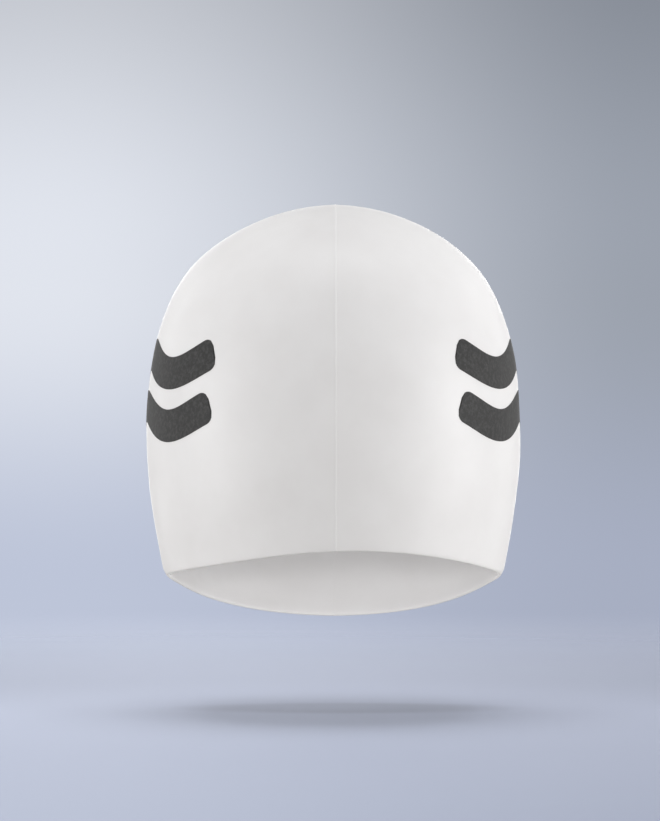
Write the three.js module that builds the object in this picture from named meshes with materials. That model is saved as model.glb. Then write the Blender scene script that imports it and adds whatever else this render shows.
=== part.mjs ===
// A one-piece moulded silicone swim cap, in the form that it takes on a head.
// Millimetres, +Z up, with the forehead towards -Y and the nape towards +Y.
// The origin is the inside of the crown, where the top of the head touches it.
import * as THREE from "three";
import { ParametricGeometry } from "three/addons/geometries/ParametricGeometry.js";
import { mergeVertices } from "three/addons/utils/BufferGeometryUtils.js";

// Outer size
const halfWidth = 80; // centre plane to the widest point over the ears
const frontReach = 94; // crown axis to the fullest point of the forehead
const backReach = 102; // crown axis to the fullest point of the back of the head
const sideHeight = 158.8; // crown down to the rim at the ears

// Rim, measured from its height at the ears
const frontLift = 13.5; // how much higher it runs over the forehead
const backDrop = 20.4; // how much lower it runs over the nape
const rimSweep = 0.5; // share of that rise and fall that is kept for the front and the back

// Wall and edge
const wall = 1.0;
const lipThickness = 1.5; // the moulded edge, thicker than the wall on its inner side
const lipHeight = 8; // along the wall, over which it swells

// Form of the sections
const backFullness = 0.2; // radians by which the back of each section is squared off
const ridgeHeight = 0.4; // soft ridge where the two halves of the mould meet
const ridgeSpread = 12; // distance from the centre plane over which it fades
const crownHeight = wall - ridgeHeight; // of the form without its ridge, which puts the inside at the origin

// Facets
const meridianCount = 72;
const rowsPerWall = 22;
const rowsPerLip = 3;
const rowsRoundEdge = 4;

// Horizontal sections from the crown downwards, about one even step apart along the wall.
// down is a share of sideHeight, side of halfWidth, front of frontReach and back of backReach.
const sections = [
  { down: 0.0, side: 0.0, front: 0.0, back: 0.0 },
  { down: 0.0115, side: 0.215, front: 0.222, back: 0.208 },
  { down: 0.0455, side: 0.422, front: 0.43, back: 0.416 },
  { down: 0.1, side: 0.616, front: 0.622, back: 0.608 },
  { down: 0.174, side: 0.774, front: 0.776, back: 0.77 },
  { down: 0.262, side: 0.88, front: 0.878, back: 0.879 },
  { down: 0.3565, side: 0.947, front: 0.94, back: 0.949 },
  { down: 0.452, side: 0.982, front: 0.976, back: 0.986 },
  { down: 0.5455, side: 0.997, front: 0.994, back: 1.0 },
  { down: 0.6365, side: 1.0, front: 1.0, back: 0.997 },
  { down: 0.7265, side: 0.992, front: 0.997, back: 0.977 },
  { down: 0.817, side: 0.971, front: 0.986, back: 0.941 },
  { down: 0.908, side: 0.941, front: 0.967, back: 0.893 },
  { down: 0.998, side: 0.909, front: 0.945, back: 0.838 },
  { down: 1.0875, side: 0.877, front: 0.921, back: 0.78 },
  { down: 1.176, side: 0.845, front: 0.896, back: 0.722 },
];

// A natural cubic spline through one column of the sections, which runs on straight past the last row.
// A level start keeps the crown smooth.
function columnSpline(column, levelStart) {
  const values = sections.map((row) => row[column]);
  const last = values.length - 1;
  const bend = new Array(last + 1).fill(0);
  const upper = new Array(last + 1).fill(0);
  if (levelStart) {
    upper[0] = 0.5;
    bend[0] = 3 * (values[1] - values[0]);
  }
  for (let i = 1; i < last; i++) {
    const change = values[i + 1] - 2 * values[i] + values[i - 1];
    const pivot = 4 - upper[i - 1];
    upper[i] = 1 / pivot;
    bend[i] = (6 * change - bend[i - 1]) / pivot;
  }
  bend[last] = 0;
  for (let i = last - 1; i >= 0; i--) bend[i] -= upper[i] * bend[i + 1];
  const endSlope = values[last] - values[last - 1] + bend[last - 1] / 6;
  return (step) => {
    if (step > last) return values[last] + endSlope * (step - last);
    const i = Math.min(Math.max(Math.floor(step), 0), last - 1);
    const b = step - i;
    const a = 1 - b;
    const curve = ((a ** 3 - a) * bend[i] + (b ** 3 - b) * bend[i + 1]) / 6;
    return a * values[i] + b * values[i + 1] + curve;
  };
}

const downAt = columnSpline("down", true);
const sideAt = columnSpline("side", false);
const frontAt = columnSpline("front", false);
const backAt = columnSpline("back", false);

// Depth of the rim below the crown. Azimuth 0 is the forehead, a quarter turn an ear, a half turn the nape.
function rimDepth(azimuth) {
  const ahead = Math.cos(azimuth);
  const tilt = (frontLift + backDrop) / 2;
  const dip = (backDrop - frontLift) / 2;
  const sweep = 1 - rimSweep + rimSweep * ahead ** 2;
  return sideHeight - tilt * ahead * sweep + dip * ahead ** 2;
}

// The step down the sections at which a meridian reaches the rim.
function rimStep(azimuth) {
  const target = rimDepth(azimuth) / sideHeight;
  const finest = 1e-7;
  let low = 0;
  let high = 2 * sections.length;
  while (high - low > finest) {
    const middle = (low + high) / 2;
    if (downAt(middle) < target) low = middle;
    else high = middle;
  }
  return (low + high) / 2;
}

// A point of the outer form, before the ridge.
function formPoint(azimuth, step) {
  const ahead = Math.cos(azimuth);
  const front = frontReach * frontAt(step);
  const back = backReach * backAt(step);
  const turned = azimuth + (backFullness * (1 - ahead) * Math.sin(2 * azimuth)) / 2;
  return new THREE.Vector3(
    halfWidth * sideAt(step) * Math.sin(turned),
    -ahead * ((front + back) / 2 + ((front - back) / 2) * ahead),
    crownHeight - sideHeight * downAt(step),
  );
}

// The outward normal of the form, and the direction down the meridian, from close neighbours.
function formFrame(azimuth, step) {
  const small = 1e-3;
  const safe = Math.max(step, small);
  const along = formPoint(azimuth, safe + small).sub(formPoint(azimuth, safe - small)).normalize();
  const round = formPoint(azimuth + small, safe).sub(formPoint(azimuth - small, safe)).normalize();
  const out = along.clone().cross(round).normalize();
  if (step < small) out.set(0, 0, 1);
  return { out, along };
}

// One meridian of the form: its azimuth, the step at its rim and the share of its length that the lip takes.
function meridianOf(azimuth) {
  const rim = rimStep(azimuth);
  const chords = 100;
  let length = 0;
  for (let i = 0; i < chords; i++) {
    const next = formPoint(azimuth, (rim * (i + 1)) / chords);
    length += next.distanceTo(formPoint(azimuth, (rim * i) / chords));
  }
  return { azimuth, rim, lipShare: lipHeight / length };
}

// A point of the shell: station.above of the way down to the lip and station.within of the way down the lip,
// station.inset below the outer surface, and station.run further along the meridian.
function shellPoint({ azimuth, rim, lipShare }, station) {
  const step = rim * (station.above * (1 - lipShare) + station.within * lipShare);
  const point = formPoint(azimuth, step);
  const { out, along } = formFrame(azimuth, step);
  const ridge = ridgeHeight * Math.exp(-Math.abs(point.x) / ridgeSpread);
  return point.addScaledVector(out, ridge - station.inset).addScaledVector(along, station.run);
}

// Stations down the inner wall, round the edge and up the outer wall.
function shellStations() {
  const radius = lipThickness / 2;
  const stations = [];
  for (let i = 0; i <= rowsPerWall; i++) {
    stations.push({ above: i / rowsPerWall, within: 0, inset: wall, run: 0 });
  }
  for (let i = 1; i <= rowsPerLip; i++) {
    const swell = THREE.MathUtils.smoothstep(i, 0, rowsPerLip);
    const inset = THREE.MathUtils.lerp(wall, lipThickness, swell);
    stations.push({ above: 1, within: i / rowsPerLip, inset, run: 0 });
  }
  for (let i = 1; i < rowsRoundEdge; i++) {
    const angle = (Math.PI * i) / rowsRoundEdge;
    const inset = radius * (1 + Math.cos(angle));
    stations.push({ above: 1, within: 1, inset, run: radius * Math.sin(angle) });
  }
  for (let i = rowsPerLip; i > 0; i--) {
    stations.push({ above: 1, within: i / rowsPerLip, inset: 0, run: 0 });
  }
  for (let i = rowsPerWall; i >= 0; i--) {
    stations.push({ above: i / rowsPerWall, within: 0, inset: 0, run: 0 });
  }
  return stations;
}

// Joins the seam and the crown points of a swept grid into one closed surface.
function closedSurface(grid) {
  grid.deleteAttribute("normal");
  grid.deleteAttribute("uv");
  const merged = mergeVertices(grid);
  const old = merged.index.array;
  const kept = [];
  for (let i = 0; i < old.length; i += 3) {
    const [a, b, c] = [old[i], old[i + 1], old[i + 2]];
    if (a !== b && b !== c && c !== a) kept.push(a, b, c);
  }
  merged.setIndex(kept);
  merged.computeVertexNormals();
  return merged;
}

function capShell() {
  const stations = shellStations();
  const last = stations.length - 1;
  const meridians = [];
  for (let i = 0; i < meridianCount; i++) meridians.push(meridianOf((2 * Math.PI * i) / meridianCount));
  const place = (u, v, target) => {
    const meridian = meridians[Math.round(u * meridianCount) % meridianCount];
    target.copy(shellPoint(meridian, stations[Math.round(v * last)]));
  };
  const geometry = closedSurface(new ParametricGeometry(place, meridianCount, last));
  const silicone = new THREE.MeshStandardMaterial({ color: 0xe8e7e4, roughness: 0.55, metalness: 0 });
  const mesh = new THREE.Mesh(geometry, silicone);
  mesh.name = "cap_shell";
  return mesh;
}

const swimCap = new THREE.Group();
swimCap.add(capShell());

export default swimCap;
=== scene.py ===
"""A moulded silicone swim cap in the form that it takes on a head, seen from the forehead.

Metres, +Z up, with the forehead towards -Y. The origin is the inside of the crown.
"""
import math

import bpy
import numpy as np
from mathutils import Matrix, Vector


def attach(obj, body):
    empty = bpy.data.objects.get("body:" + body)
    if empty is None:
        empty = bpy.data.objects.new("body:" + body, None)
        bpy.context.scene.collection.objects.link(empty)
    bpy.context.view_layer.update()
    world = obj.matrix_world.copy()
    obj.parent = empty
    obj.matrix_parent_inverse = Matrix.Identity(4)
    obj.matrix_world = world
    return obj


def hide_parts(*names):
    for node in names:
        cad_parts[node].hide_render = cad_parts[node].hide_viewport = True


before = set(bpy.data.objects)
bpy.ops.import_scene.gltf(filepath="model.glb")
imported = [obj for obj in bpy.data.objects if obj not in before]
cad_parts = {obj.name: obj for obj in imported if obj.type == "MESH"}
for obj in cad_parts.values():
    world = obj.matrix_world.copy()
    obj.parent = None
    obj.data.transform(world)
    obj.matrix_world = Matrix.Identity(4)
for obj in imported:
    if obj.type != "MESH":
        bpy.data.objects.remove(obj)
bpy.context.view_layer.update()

# Outer size
HALF_WIDTH = 0.080
FRONT_REACH = 0.094
BACK_REACH = 0.102
SIDE_HEIGHT = 0.1588

# Rim, measured from its height at the ears
FRONT_LIFT = 0.0135
BACK_DROP = 0.0204
RIM_SWEEP = 0.5

# Wall and edge
WALL = 0.001
LIP_THICKNESS = 0.0015
LIP_HEIGHT = 0.008

# Form of the sections, and the soft ridge where the two halves of the mould meet
BACK_FULLNESS = 0.2
RIDGE_HEIGHT = 0.0004
RIDGE_SPREAD = 0.012
CROWN_HEIGHT = WALL - RIDGE_HEIGHT

# Fine bead of silicone along the middle of that ridge, on the outside and fainter on the inside
BEAD_HALF_WIDTH = 0.0003
BEAD_HEIGHT = 0.00015
INNER_BEAD_HEIGHT = 0.00007

# How this cap sits: what a soft thing adds to the moulded form.
# LEAN_GAIN makes RIM_LEAN the most that the rim leans. The ripples grow over RIPPLE_STEPS from the crown.
FRONT_SEAM_SHIFT = 0.0010
BACK_SEAM_SHIFT = 0.0005
RIM_LEAN = 0.0013
LEAN_GAIN = 2.6
FRONT_RISE = 0.0005
EAR_CURL = 0.0012
EAR_CURL_HEIGHT = 0.0045
EAR_CURL_REACH = 0.045
RIPPLE_STEPS = 5
RIPPLES = [
    {"around": 2, "down": 0.9, "start": 0.4, "height": 0.00020},
    {"around": 3, "down": 1.7, "start": 2.1, "height": 0.00016},
    {"around": 5, "down": 2.6, "start": 4.0, "height": 0.00010},
    {"around": 8, "down": 1.3, "start": 1.2, "height": 0.00006},
]

# Horizontal sections from the crown downwards, about evenly spaced along the wall: a row is one step.
# down is a share of SIDE_HEIGHT, side of HALF_WIDTH, front of FRONT_REACH and back of BACK_REACH.
SECTIONS = [
    {"down": 0.0, "side": 0.0, "front": 0.0, "back": 0.0},
    {"down": 0.0115, "side": 0.215, "front": 0.222, "back": 0.208},
    {"down": 0.0455, "side": 0.422, "front": 0.43, "back": 0.416},
    {"down": 0.1, "side": 0.616, "front": 0.622, "back": 0.608},
    {"down": 0.174, "side": 0.774, "front": 0.776, "back": 0.77},
    {"down": 0.262, "side": 0.88, "front": 0.878, "back": 0.879},
    {"down": 0.3565, "side": 0.947, "front": 0.94, "back": 0.949},
    {"down": 0.452, "side": 0.982, "front": 0.976, "back": 0.986},
    {"down": 0.5455, "side": 0.997, "front": 0.994, "back": 1.0},
    {"down": 0.6365, "side": 1.0, "front": 1.0, "back": 0.997},
    {"down": 0.7265, "side": 0.992, "front": 0.997, "back": 0.977},
    {"down": 0.817, "side": 0.971, "front": 0.986, "back": 0.941},
    {"down": 0.908, "side": 0.941, "front": 0.967, "back": 0.893},
    {"down": 0.998, "side": 0.909, "front": 0.945, "back": 0.838},
    {"down": 1.0875, "side": 0.877, "front": 0.921, "back": 0.78},
    {"down": 1.176, "side": 0.845, "front": 0.896, "back": 0.722},
]

# How finely the form is measured
LAST_STEP = 19.2
STEP_SAMPLES = 20001
LIP_CHORDS = 120
LIP_TURNS = 181
LEVEL_SAMPLES = 721
SMALL = 1e-3

# Mesh of the cap: columns run from the nape over the crown to the forehead, rows from ear to ear
FINEST_COLUMN = 0.0005
COLUMN_GROWTH = 1.3
WIDEST_COLUMN = 0.0117
ROW_COUNT = 171
LIP_RINGS = 6
EDGE_RINGS = 7

# Print: wavy bands of ink on both sides, one above the other.
# Its ends are distances round from the middle of the forehead, at PRINT_DEPTH below the crown.
INK_THICKNESS = 0.00010
INK_ROOT = 0.00008
PRINT_FRONT = 0.0560
PRINT_BACK = 0.2180
PRINT_DEPTH = 0.0770
PRINT_FALL = 0.045
WAVE_LENGTH = 0.0810
WAVE_HEIGHT = 0.0050
WAVE_START = 2.6
BANDS = [
    {"name": "upper", "rise": 0.0110, "half_width": 0.0068},
    {"name": "lower", "rise": -0.0110, "half_width": 0.0068},
]
BAND_CORNER = 0.0042
BAND_STEP = 0.0009
BAND_ROWS = 13

# The photograph's frame, the cap's place in it and the camera that sees it so
PHOTO_WIDTH = 660
PHOTO_HEIGHT = 821
CAP_CENTRE_PIXEL = 333.4
CROWN_PIXEL = 205.0
METRES_PER_PIXEL = 0.0004296
CAMERA_DISTANCE = 1.8
SENSOR = 36.0

# Silicone and ink. A pattern's scale is in waves per metre.
CLOUDS = {"scale": 38.0, "detail": 4.0, "roughness": 0.55}
SWELLS = {"scale": 230.0, "detail": 3.0, "roughness": 0.5}
GRAIN = {"scale": 2600.0, "detail": 3.0, "roughness": 0.6}
SPECKS = {"scale": 620.0, "detail": 5.0, "roughness": 0.7}
SILICONE_DARK = (0.765, 0.758, 0.761)
SILICONE_LIGHT = (0.800, 0.796, 0.801)
CLOUD_FROM = 0.3
CLOUD_TO = 0.7
SILICONE_IOR = 1.41
ROUGHNESS_SPREAD = 0.05
SWELL_STRENGTH = 0.35
SWELL_DEPTH = 0.00005
GRAIN_DEPTH = 0.00002
LIGHT_THROUGH = 0.25
LIGHT_REACH = 0.0018
INK_DARK = (0.026, 0.026, 0.026)
INK_LIGHT = (0.070, 0.070, 0.070)
SPECK_FROM = 0.45
SPECK_TO = 0.78
INK_ROUGHNESS = 0.6
INK_GLOSS = 0.28
SPECK_STRENGTH = 0.5
SPECK_DEPTH = 0.00003

# Floor: a bluish disc that fades out, paler on the left as painted light falloff, with painted shade far
# behind and a painted shadow under the cap
FLOOR_HEIGHT = -0.217
FLOOR_RADIUS = 0.95
FLOOR_SOLID_RADIUS = 0.25
FLOOR_CORNERS = 128
# Bluish floor colours, paler on the left than on the right: painted light falloff across the floor
FLOOR_LEFT = (0.538, 0.588, 0.727)
FLOOR_RIGHT = (0.407, 0.447, 0.566)
FLOOR_BOUNCE = (0.54, 0.53, 0.52)
FLOOR_ROUGHNESS = 0.9
FLOOR_GLOSS = 0.1
LIGHT_FALLOFF_FROM = -0.12
LIGHT_FALLOFF_TO = 0.2
# Painted shade: the floor's colour is darker far behind the cap, down to this share, between these depths
PAINTED_SHADE_BEHIND = 0.83
BEHIND_FROM = -0.06
BEHIND_TO = 0.22
# Painted shadow under the cap: the floor's colour is darker in a soft ellipse, by SHADE_DEPTH at its middle
SHADE_HALF_WIDTH = 0.085
SHADE_HALF_DEPTH = 0.041
SHADE_MIDDLE = (0.006, 0.027, 0.0)
SHADE_DEPTH = 0.19
SHADE_FROM = 0.48
SHADE_TO = 1.02

# Backdrop: a plain wall with painted light falloff, paler on the left and dimmer high up, over a ground in
# the floor's colours with their painted falloff.
# The changes lie between FROM and TO, across or up as parts of a direction.
WALL_LEFT = (0.75, 0.78, 0.85)
WALL_RIGHT = (0.33, 0.36, 0.42)
SWEEP_FROM = -0.07
SWEEP_TO = 0.08
GROUND_SHARE = 0.95
TOP_SHARE = 0.7
TOP_FROM = 0.04
TOP_TO = 0.12
GROUND_FROM = -0.04
GROUND_TO = 0.03

# Lights
LIGHT_COLOUR = (1.0, 0.994, 0.990)
AMBIENT = 0.443
CAP_MIDDLE = (0.0, 0.0, -0.09)
NAPE_INSIDE = (0.0, 0.07, -0.078)
LIGHTS = [
    {"name": "box_right", "place": (1.6, -0.3, 0.0), "width": 0.9, "height": 0.6, "power": 14.1},
    {"name": "box_left", "place": (-1.6, -0.3, 0.0), "width": 0.9, "height": 0.6, "power": 10.8},
    {"name": "box_top", "place": (0.0, 0.0, 1.6), "width": 1.3, "height": 1.3, "power": 11.1},
    {"name": "box_back", "place": (0.0, 1.3, -0.03), "width": 0.7, "height": 0.4, "power": 4.6},
    {"name": "edge_right", "place": (1.1, 1.1, 0.1), "width": 0.4, "height": 1.4, "power": 2.16},
    {"name": "edge_left", "place": (-1.1, 1.1, 0.1), "width": 0.4, "height": 1.4, "power": 2.55},
    {"name": "edge_top", "place": (0.0, 1.1, 0.9), "width": 1.4, "height": 0.4, "power": 1.3},
    {"name": "edge_low", "place": (0.0, 1.3, 0.28), "width": 1.2, "height": 0.12, "power": 0.8},
    {"name": "box_front", "place": (0.0, -2.2, 0.01), "width": 0.8, "height": 0.13, "power": 8.19},
    {"name": "card_inside", "place": (0.0, -0.03, -0.178), "width": 0.10, "height": 0.02,
     "power": 0.042, "aim": NAPE_INSIDE},
]


def smooth(value):
    value = np.clip(value, 0.0, 1.0)
    return value * value * (3 - 2 * value)


def column_spline(column, level_start=False):
    """A natural cubic spline through one column of the sections, straight on past the last row."""
    values = np.array([row[column] for row in SECTIONS])
    last = len(values) - 1
    system = np.diag(np.full(last + 1, 4.0)) + np.diag(np.ones(last), 1) + np.diag(np.ones(last), -1)
    right = np.zeros(last + 1)
    right[1:-1] = 6 * np.diff(values, 2)
    system[0] = 0
    system[0, 0] = 1
    if level_start:
        system[0, :2] = 2, 1
        right[0] = 6 * (values[1] - values[0])
    system[-1] = 0
    system[-1, -1] = 1
    bend = np.linalg.solve(system, right)
    end_slope = values[last] - values[last - 1] + bend[last - 1] / 6

    def at(step):
        inside = np.minimum(step, last)
        i = np.clip(np.floor(inside).astype(int), 0, last - 1)
        b = inside - i
        a = 1 - b
        curve = ((a**3 - a) * bend[i] + (b**3 - b) * bend[i + 1]) / 6
        return a * values[i] + b * values[i + 1] + curve + end_slope * (step - inside)

    return at


down_at = column_spline("down", level_start=True)
side_at = column_spline("side")
front_at = column_spline("front")
back_at = column_spline("back")


def step_at_depth(depth):
    """The step down the sections at which the form is that far below its crown."""
    steps = np.linspace(0, LAST_STEP, STEP_SAMPLES)
    return np.interp(depth / SIDE_HEIGHT, down_at(steps), steps)


def rim_step(azimuth):
    """Azimuth 0 is the forehead, a quarter turn an ear and a half turn the nape."""
    ahead = np.cos(azimuth)
    tilt = (FRONT_LIFT + BACK_DROP) / 2
    dip = (BACK_DROP - FRONT_LIFT) / 2
    sweep = 1 - RIM_SWEEP + RIM_SWEEP * ahead**2
    return step_at_depth(SIDE_HEIGHT - tilt * ahead * sweep + dip * ahead**2)


def form_point(azimuth, step):
    ahead = np.cos(azimuth)
    front = FRONT_REACH * front_at(step)
    back = BACK_REACH * back_at(step)
    turned = azimuth + BACK_FULLNESS * (1 - ahead) * np.sin(2 * azimuth) / 2
    x = HALF_WIDTH * side_at(step) * np.sin(turned)
    y = -ahead * ((front + back) / 2 + (front - back) / 2 * ahead)
    z = CROWN_HEIGHT - SIDE_HEIGHT * down_at(step)
    return np.stack([x, y, z], -1)


def unit(vectors):
    return vectors / np.linalg.norm(vectors, axis=-1, keepdims=True)


def form_frame(azimuth, step):
    """The outward normal of the form and the direction down the meridian, from close neighbours."""
    safe = np.maximum(step, SMALL)
    along = unit(form_point(azimuth, safe + SMALL) - form_point(azimuth, safe - SMALL))
    around = unit(form_point(azimuth + SMALL, safe) - form_point(azimuth - SMALL, safe))
    out = unit(np.cross(along, around))
    out[step < SMALL] = 0, 0, 1
    return out, along


def ripple(azimuth, step):
    """Low waves over the wall, which fade out at the crown."""
    total = 0.0
    for wave in RIPPLES:
        turn = wave["around"] * azimuth + wave["start"]
        total = total + wave["height"] * np.sin(turn) * np.cos(wave["down"] * step + wave["start"])
    return total * smooth(step / RIPPLE_STEPS)


def as_worn(point):
    """Shifts the seam off the centre plane, leans the front rim and curls the rim in at the ears."""
    x, y, z = np.moveaxis(point, -1, 0)
    width = x / HALF_WIDTH
    curled = smooth((-z - SIDE_HEIGHT + EAR_CURL_HEIGHT) / EAR_CURL_HEIGHT)
    curl = EAR_CURL * curled * np.exp(-((y / EAR_CURL_REACH) ** 2))
    ahead = smooth(0.5 - y / (2 * FRONT_REACH))
    shift = BACK_SEAM_SHIFT + (FRONT_SEAM_SHIFT - BACK_SEAM_SHIFT) * ahead
    low = np.clip(-z / SIDE_HEIGHT, 0, 1) ** 2
    lean = RIM_LEAN * LEAN_GAIN * width * (1 - width**2) + FRONT_RISE
    raised = z + lean * smooth(-y / FRONT_REACH) * low
    return np.stack([x + shift * (1 - width**2) - curl * width, y, raised], -1)


def cap_surface(azimuth, step, inset=0.0, run=0.0, bead=0.0):
    """Points inset below the outer surface, run further down the meridian, with a bead of that height."""
    point = form_point(azimuth, step)
    out, along = form_frame(azimuth, step)
    aside = np.abs(point[..., 0])
    ridge = RIDGE_HEIGHT * np.exp(-aside / RIDGE_SPREAD)
    fine = bead * np.exp(-((aside / BEAD_HALF_WIDTH) ** 2))
    offset = ridge + ripple(azimuth, step) + fine - inset
    return as_worn(point + out * offset[..., None] + along * run)


def lip_share(azimuth):
    """The share of each meridian's length that the lip takes."""
    turns = np.linspace(-np.pi, np.pi, LIP_TURNS)
    shares = np.linspace(0, 1, LIP_CHORDS + 1)
    path = form_point(turns[:, None], rim_step(turns)[:, None] * shares)
    lengths = np.linalg.norm(np.diff(path, axis=1), axis=-1).sum(1)
    return LIP_HEIGHT / np.interp(azimuth, turns, lengths)


def loop_of(count_across, count_along):
    """The indices round the outside of a grid, as (across, along) pairs."""
    back = [(i, 0) for i in range(count_across)]
    right = [(count_across - 1, j) for j in range(1, count_along)]
    front = [(i, count_along - 1) for i in range(count_across - 2, -1, -1)]
    left = [(0, j) for j in range(count_along - 2, 0, -1)]
    return np.array(back + right + front + left)


def closed_shell(name, outer, rings, inner):
    """One closed mesh: an outer grid, rings of points round its boundary, and a like inner grid."""
    across, along = outer.shape[:2]
    border = loop_of(across, along)
    points = np.concatenate([outer.reshape(-1, 3), *rings, inner.reshape(-1, 3)])
    number = np.arange(across * along).reshape(across, along)
    first_inner = across * along + len(rings) * len(border)
    skin = np.stack([number[:-1, :-1], number[:-1, 1:], number[1:, 1:], number[1:, :-1]], -1).reshape(-1, 4)
    loops = [number[border[:, 0], border[:, 1]]]
    loops += [across * along + k * len(border) + np.arange(len(border)) for k in range(len(rings))]
    loops.append(first_inner + number[border[:, 0], border[:, 1]])
    edge = [
        np.stack([upper, np.roll(upper, -1), np.roll(lower, -1), lower], -1)
        for upper, lower in zip(loops[:-1], loops[1:])
    ]
    faces = np.concatenate([skin, *edge, first_inner + skin[:, ::-1]])
    mesh = bpy.data.meshes.new(name)
    mesh.from_pydata(points.tolist(), [], faces.tolist())
    mesh.polygons.foreach_set("use_smooth", np.ones(len(faces), bool))
    mesh.validate()
    piece = bpy.data.objects.new(name, mesh)
    bpy.context.scene.collection.objects.link(piece)
    return piece, len(skin)


def column_positions():
    """From one ear to the other: close together beside the bead, and even further out."""
    gap = FINEST_COLUMN
    side = [0.0]
    while side[-1] < 1:
        side.append(side[-1] + gap)
        gap = min(gap * COLUMN_GROWTH, WIDEST_COLUMN)
    side = np.array(side) / side[-1]
    return np.concatenate([-side[:0:-1], side])


def make_cap():
    """The shell. A square grid is laid over the round form, so that its columns run along the seam."""
    across, along = np.meshgrid(column_positions(), np.linspace(-1, 1, ROW_COUNT), indexing="ij")
    right = across * np.sqrt(1 - along**2 / 2)
    ahead = along * np.sqrt(1 - across**2 / 2)
    azimuth = np.arctan2(right, ahead)
    share = np.minimum(np.hypot(right, ahead), 1.0)
    rim = rim_step(azimuth)
    lip = lip_share(azimuth)
    step = share * rim * (1 - lip)
    outer = cap_surface(azimuth, step, bead=BEAD_HEIGHT)
    inner = cap_surface(azimuth, step, inset=WALL, bead=-INNER_BEAD_HEIGHT)

    border = loop_of(*azimuth.shape)
    turn = azimuth[border[:, 0], border[:, 1]]
    rim = rim[border[:, 0], border[:, 1]]
    lip = lip[border[:, 0], border[:, 1]]
    radius = LIP_THICKNESS / 2
    rings = []
    for k in range(1, LIP_RINGS + 1):
        rings.append(cap_surface(turn, rim * (1 - lip + lip * k / LIP_RINGS), bead=BEAD_HEIGHT))
    for k in range(1, EDGE_RINGS):
        angle = math.pi * k / EDGE_RINGS
        inward = (1 - math.cos(angle)) / 2
        bead = BEAD_HEIGHT * (1 - inward) - INNER_BEAD_HEIGHT * inward
        inset = LIP_THICKNESS * inward
        rings.append(cap_surface(turn, rim, inset=inset, run=radius * math.sin(angle), bead=bead))
    for k in range(LIP_RINGS, 0, -1):
        inset = WALL + (LIP_THICKNESS - WALL) * smooth(k / LIP_RINGS)
        place = rim * (1 - lip + lip * k / LIP_RINGS)
        rings.append(cap_surface(turn, place, inset=inset, bead=-INNER_BEAD_HEIGHT))

    cap, skin_count = closed_shell("swim_cap", outer, rings, inner)
    cap.data.materials.append(silicone("silicone_outside", roughness=0.44, grain=0.6))
    cap.data.materials.append(silicone("silicone_inside", roughness=0.6, grain=1.0))
    inside = np.zeros(len(cap.data.polygons), np.int32)
    inside[-skin_count:] = 1
    cap.data.polygons.foreach_set("material_index", inside)
    return cap


def azimuth_at(distance, depth):
    """The azimuth of a place on the outside, so deep and so far round from the middle of the forehead."""
    turns = np.linspace(0, math.pi, LEVEL_SAMPLES)
    level = form_point(turns, np.full_like(turns, step_at_depth(depth)))
    lengths = np.concatenate([[0], np.cumsum(np.linalg.norm(np.diff(level, axis=0), axis=-1))])
    return np.interp(distance, lengths, turns)


def make_band(band, side):
    """One wavy band of ink on one side: a thin film with rounded corners, rooted in the silicone."""
    length = PRINT_BACK - PRINT_FRONT
    distance = np.linspace(0, length, round(length / BAND_STEP) + 1)
    phase = 2 * math.pi * distance / WAVE_LENGTH + WAVE_START
    middle = band["rise"] - PRINT_FALL * distance + WAVE_HEIGHT * np.sin(phase)
    slope = np.gradient(middle, distance)
    to_end = np.minimum(np.minimum(distance, length - distance), BAND_CORNER)
    corner = BAND_CORNER - np.sqrt(BAND_CORNER**2 - (BAND_CORNER - to_end) ** 2)
    half = band["half_width"] - corner
    share = np.sin(np.linspace(-math.pi / 2, math.pi / 2, BAND_ROWS))
    lean = np.hypot(1, slope)
    along = distance[:, None] - (slope / lean * half)[:, None] * share
    rise = middle[:, None] + (half / lean)[:, None] * share
    depth = PRINT_DEPTH - rise
    azimuth = side * azimuth_at(PRINT_FRONT + along, PRINT_DEPTH)
    step = step_at_depth(depth)
    top = cap_surface(azimuth, step, inset=-INK_THICKNESS)
    root = cap_surface(azimuth, step, inset=INK_ROOT)
    if side < 0:
        top, root = top[:, ::-1], root[:, ::-1]
    name = f"print_{band['name']}_{'left' if side > 0 else 'right'}"
    piece, _ = closed_shell(name, top, [], root)
    piece.data.materials.append(ink())
    return piece


def add_node(nodes, kind, **values):
    """A shader node with its settings, and its inputs by name where a setting has no such attribute."""
    node = nodes.new(kind)
    for key, value in values.items():
        if hasattr(node, key):
            setattr(node, key, value)
        else:
            node.inputs[key.replace("_", " ").title()].default_value = value
    return node


def new_material(name):
    material = bpy.data.materials.new(name)
    material.use_nodes = True
    nodes = material.node_tree.nodes
    return material, nodes, material.node_tree.links, nodes["Principled BSDF"]


def add_noise(nodes, links, place, pattern):
    noise = add_node(nodes, "ShaderNodeTexNoise", **pattern)
    links.new(place, noise.inputs["Vector"])
    return noise.outputs["Fac"]


def add_tint(nodes, links, source, start, start_colour, end, end_colour):
    """A colour that goes from one to the other as the source goes from start to end."""
    tint = add_node(nodes, "ShaderNodeValToRGB")
    first, last = tint.color_ramp.elements
    first.position = start
    first.color = (*start_colour, 1)
    last.position = end
    last.color = (*end_colour, 1)
    links.new(source, tint.inputs["Fac"])
    return tint.outputs["Color"]


def add_bump(nodes, links, source, strength, depth):
    bump = add_node(nodes, "ShaderNodeBump")
    bump.inputs["Strength"].default_value = strength
    bump.inputs["Distance"].default_value = depth
    links.new(source, bump.inputs["Height"])
    return bump


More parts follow.
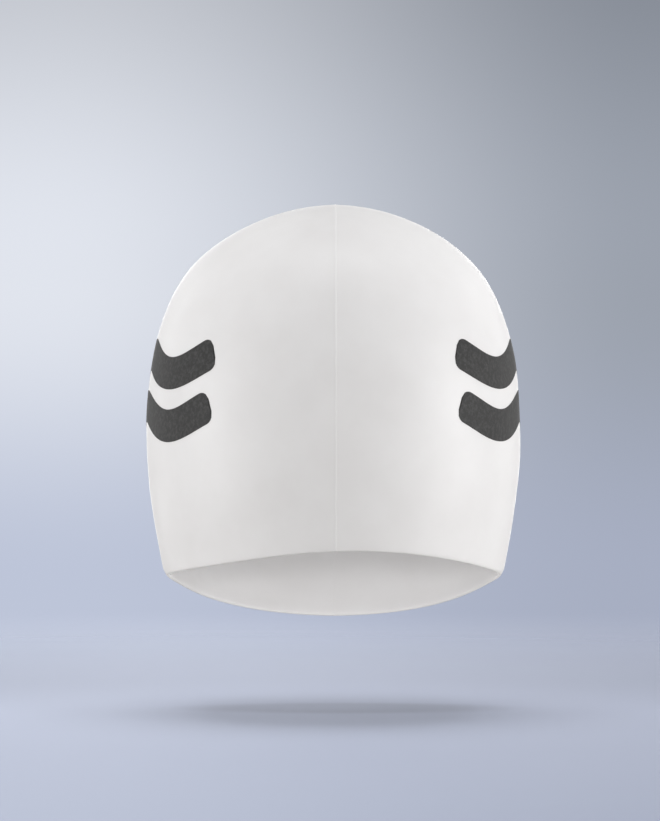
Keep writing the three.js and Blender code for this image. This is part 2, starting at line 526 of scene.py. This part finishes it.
def silicone(name, roughness, grain):
    """Off-white moulded silicone with faint clouds, a satin grain and a little light through the wall."""
    material, nodes, links, shader = new_material(name)
    place = add_node(nodes, "ShaderNodeTexCoord").outputs["Object"]
    clouds = add_noise(nodes, links, place, CLOUDS)
    fine = add_noise(nodes, links, place, GRAIN)
    broad = add_noise(nodes, links, place, SWELLS)
    tint = add_tint(nodes, links, clouds, CLOUD_FROM, SILICONE_DARK, CLOUD_TO, SILICONE_LIGHT)
    satin = add_node(nodes, "ShaderNodeMapRange")
    satin.inputs["To Min"].default_value = roughness - ROUGHNESS_SPREAD
    satin.inputs["To Max"].default_value = roughness + ROUGHNESS_SPREAD
    grit = add_bump(nodes, links, fine, grain, GRAIN_DEPTH)
    swell = add_bump(nodes, links, broad, SWELL_STRENGTH, SWELL_DEPTH)
    links.new(tint, shader.inputs["Base Color"])
    links.new(broad, satin.inputs["Value"])
    links.new(satin.outputs["Result"], shader.inputs["Roughness"])
    links.new(swell.outputs["Normal"], grit.inputs["Normal"])
    links.new(grit.outputs["Normal"], shader.inputs["Normal"])
    shader.inputs["IOR"].default_value = SILICONE_IOR
    shader.inputs["Subsurface Weight"].default_value = LIGHT_THROUGH
    shader.inputs["Subsurface Radius"].default_value = (LIGHT_REACH, LIGHT_REACH, LIGHT_REACH)
    shader.inputs["Subsurface Scale"].default_value = 1.0
    return material


def ink():
    """Dark grey silicone ink, a little worn, so that fine light specks show in it."""
    known = bpy.data.materials.get("print_ink")
    if known:
        return known
    material, nodes, links, shader = new_material("print_ink")
    place = add_node(nodes, "ShaderNodeTexCoord").outputs["Object"]
    specks = add_noise(nodes, links, place, SPECKS)
    tint = add_tint(nodes, links, specks, SPECK_FROM, INK_DARK, SPECK_TO, INK_LIGHT)
    grit = add_bump(nodes, links, specks, SPECK_STRENGTH, SPECK_DEPTH)
    links.new(tint, shader.inputs["Base Color"])
    links.new(grit.outputs["Normal"], shader.inputs["Normal"])
    shader.inputs["Roughness"].default_value = INK_ROUGHNESS
    shader.inputs["Specular IOR Level"].default_value = INK_GLOSS
    return material


def soft_step(nodes, links, source, low, high, start=0.0, end=1.0):
    """A value that goes smoothly from start to end as the source goes from low to high."""
    step = add_node(nodes, "ShaderNodeMapRange", interpolation_type="SMOOTHSTEP")
    step.inputs["From Min"].default_value = low
    step.inputs["From Max"].default_value = high
    step.inputs["To Min"].default_value = start
    step.inputs["To Max"].default_value = end
    links.new(source, step.inputs["Value"])
    return step.outputs["Result"]


def blend(nodes, links, share, low, high):
    mix = add_node(nodes, "ShaderNodeMix", data_type="RGBA")
    links.new(share, mix.inputs["Factor"])
    links.new(low, mix.inputs["A"])
    links.new(high, mix.inputs["B"])
    return mix.outputs["Result"]


def distance_from(nodes, links, place, middle, stretch):
    """How far a place is from the middle, with each direction stretched by its own factor."""
    centred = add_node(nodes, "ShaderNodeVectorMath", operation="SUBTRACT")
    centred.inputs[1].default_value = middle
    stretched = add_node(nodes, "ShaderNodeVectorMath", operation="MULTIPLY")
    stretched.inputs[1].default_value = stretch
    distance = add_node(nodes, "ShaderNodeVectorMath", operation="LENGTH")
    links.new(place, centred.inputs[0])
    links.new(centred.outputs["Vector"], stretched.inputs[0])
    links.new(stretched.outputs["Vector"], distance.inputs[0])
    return distance.outputs["Value"]


def floor_material():
    """Bluish, with painted light and shade as the camera sees it: paler on the left, painted shade far
    behind, a painted shadow under the cap. A plain pale grey to the light that bounces off it.
    """
    material, nodes, links, shader = new_material("floor")
    place = add_node(nodes, "ShaderNodeTexCoord").outputs["Object"]
    split = add_node(nodes, "ShaderNodeSeparateXYZ")
    links.new(place, split.inputs["Vector"])
    # Painted light falloff: the floor's colour goes from the paler left colour to the dimmer right one
    across = soft_step(nodes, links, split.outputs["X"], LIGHT_FALLOFF_FROM, LIGHT_FALLOFF_TO)
    # Painted shade far behind the cap
    behind = soft_step(nodes, links, split.outputs["Y"], BEHIND_FROM, BEHIND_TO, 1.0, PAINTED_SHADE_BEHIND)
    # Painted shadow: a soft dark ellipse in the floor's colour under the cap
    stretch = (1 / SHADE_HALF_WIDTH, 1 / SHADE_HALF_DEPTH, 0)
    under = distance_from(nodes, links, place, SHADE_MIDDLE, stretch)
    shade = soft_step(nodes, links, under, SHADE_FROM, SHADE_TO, 1 - SHADE_DEPTH, 1.0)
    colour = add_tint(nodes, links, across, 0.0, FLOOR_LEFT, 1.0, FLOOR_RIGHT)
    for share in (shade, behind):
        darker = add_node(nodes, "ShaderNodeVectorMath", operation="SCALE")
        links.new(colour, darker.inputs["Vector"])
        links.new(share, darker.inputs["Scale"])
        colour = darker.outputs["Vector"]
    ray = add_node(nodes, "ShaderNodeLightPath")
    seen = add_node(nodes, "ShaderNodeMix", data_type="RGBA")
    seen.inputs["A"].default_value = (*FLOOR_BOUNCE, 1)
    links.new(ray.outputs["Is Camera Ray"], seen.inputs["Factor"])
    links.new(colour, seen.inputs["B"])
    links.new(seen.outputs["Result"], shader.inputs["Base Color"])
    away = distance_from(nodes, links, place, (0, 0, 0), (1, 1, 1))
    fade = soft_step(nodes, links, away, FLOOR_SOLID_RADIUS, FLOOR_RADIUS, 1.0, 0.0)
    links.new(fade, shader.inputs["Alpha"])
    shader.inputs["Roughness"].default_value = FLOOR_ROUGHNESS
    shader.inputs["Specular IOR Level"].default_value = FLOOR_GLOSS
    return material


def make_floor():
    """A pale disc that fades out into the sweep behind it."""
    turns = np.linspace(0, 2 * math.pi, FLOOR_CORNERS, endpoint=False)
    height = np.full(FLOOR_CORNERS, FLOOR_HEIGHT)
    circle = np.stack([FLOOR_RADIUS * np.cos(turns), FLOOR_RADIUS * np.sin(turns), height], -1)
    mesh = bpy.data.meshes.new("floor")
    mesh.from_pydata(circle.tolist(), [], [list(range(FLOOR_CORNERS))])
    mesh.materials.append(floor_material())
    floor = bpy.data.objects.new("floor", mesh)
    bpy.context.scene.collection.objects.link(floor)


def dimmed(colour, share):
    return tuple(share * part for part in colour)


def make_world():
    """A pale sweep, lighter on the left, as the camera sees it, and even light from all round."""
    world = bpy.data.worlds.new("studio")
    bpy.context.scene.world = world
    world.use_nodes = True
    nodes, links = world.node_tree.nodes, world.node_tree.links
    nodes.clear()
    out = add_node(nodes, "ShaderNodeOutputWorld")
    seen = add_node(nodes, "ShaderNodeBackground")
    light = add_node(nodes, "ShaderNodeBackground")
    light.inputs["Color"].default_value = (*LIGHT_COLOUR, 1)
    light.inputs["Strength"].default_value = AMBIENT
    ray = add_node(nodes, "ShaderNodeLightPath")
    choose = add_node(nodes, "ShaderNodeMixShader")
    place = add_node(nodes, "ShaderNodeTexCoord")
    split = add_node(nodes, "ShaderNodeSeparateXYZ")
    links.new(place.outputs["Generated"], split.inputs["Vector"])
    side, rise = split.outputs["X"], split.outputs["Z"]
    across = soft_step(nodes, links, side, SWEEP_FROM, SWEEP_TO)
    ground_left = dimmed(FLOOR_LEFT, GROUND_SHARE)
    ground_right = dimmed(FLOOR_RIGHT, GROUND_SHARE)
    top_left = dimmed(WALL_LEFT, TOP_SHARE)
    top_right = dimmed(WALL_RIGHT, TOP_SHARE)
    ground = add_tint(nodes, links, across, 0.0, ground_left, 1.0, ground_right)
    wall = add_tint(nodes, links, across, 0.0, WALL_LEFT, 1.0, WALL_RIGHT)
    top = add_tint(nodes, links, across, 0.0, top_left, 1.0, top_right)
    low_half = blend(nodes, links, soft_step(nodes, links, rise, GROUND_FROM, GROUND_TO), ground, wall)
    whole = blend(nodes, links, soft_step(nodes, links, rise, TOP_FROM, TOP_TO), low_half, top)
    links.new(whole, seen.inputs["Color"])
    links.new(ray.outputs["Is Camera Ray"], choose.inputs["Fac"])
    links.new(light.outputs["Background"], choose.inputs[1])
    links.new(seen.outputs["Background"], choose.inputs[2])
    links.new(choose.outputs["Shader"], out.inputs["Surface"])


def make_lights():
    """Soft boxes that face the cap, and a card under its forehead that lights the inside of the nape."""
    for row in LIGHTS:
        lamp = bpy.data.lights.new(row["name"], "AREA")
        lamp.shape = "RECTANGLE"
        lamp.size = row["width"]
        lamp.size_y = row["height"]
        lamp.energy = row["power"]
        lamp.color = LIGHT_COLOUR
        box = bpy.data.objects.new(row["name"], lamp)
        box.location = row["place"]
        aim = Vector(row.get("aim", CAP_MIDDLE)) - box.location
        box.rotation_euler = aim.to_track_quat("-Z", "Y").to_euler()
        box.visible_camera = False
        bpy.context.scene.collection.objects.link(box)


def make_camera():
    """Level, at the photograph's viewing angle, with the cap where the photograph has it."""
    lens = bpy.data.cameras.new("camera")
    lens.sensor_width = SENSOR
    lens.lens = SENSOR * CAMERA_DISTANCE / (METRES_PER_PIXEL * PHOTO_HEIGHT)
    camera = bpy.data.objects.new("camera", lens)
    across = (PHOTO_WIDTH / 2 - CAP_CENTRE_PIXEL) * METRES_PER_PIXEL
    height = WALL - (PHOTO_HEIGHT / 2 - CROWN_PIXEL) * METRES_PER_PIXEL
    camera.location = (across, -CAMERA_DISTANCE, height)
    camera.rotation_euler = (math.pi / 2, 0, 0)
    bpy.context.scene.collection.objects.link(camera)
    bpy.context.scene.camera = camera


make_camera()
bpy.context.scene.view_settings.view_transform = "Standard"
make_world()
make_lights()
make_floor()

swim_cap = make_cap()
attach(swim_cap, "root")
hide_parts("cap_shell")

for band_row in BANDS:
    for side_sign in (1, -1):
        film = make_band(band_row, side_sign)
        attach(film, "root")
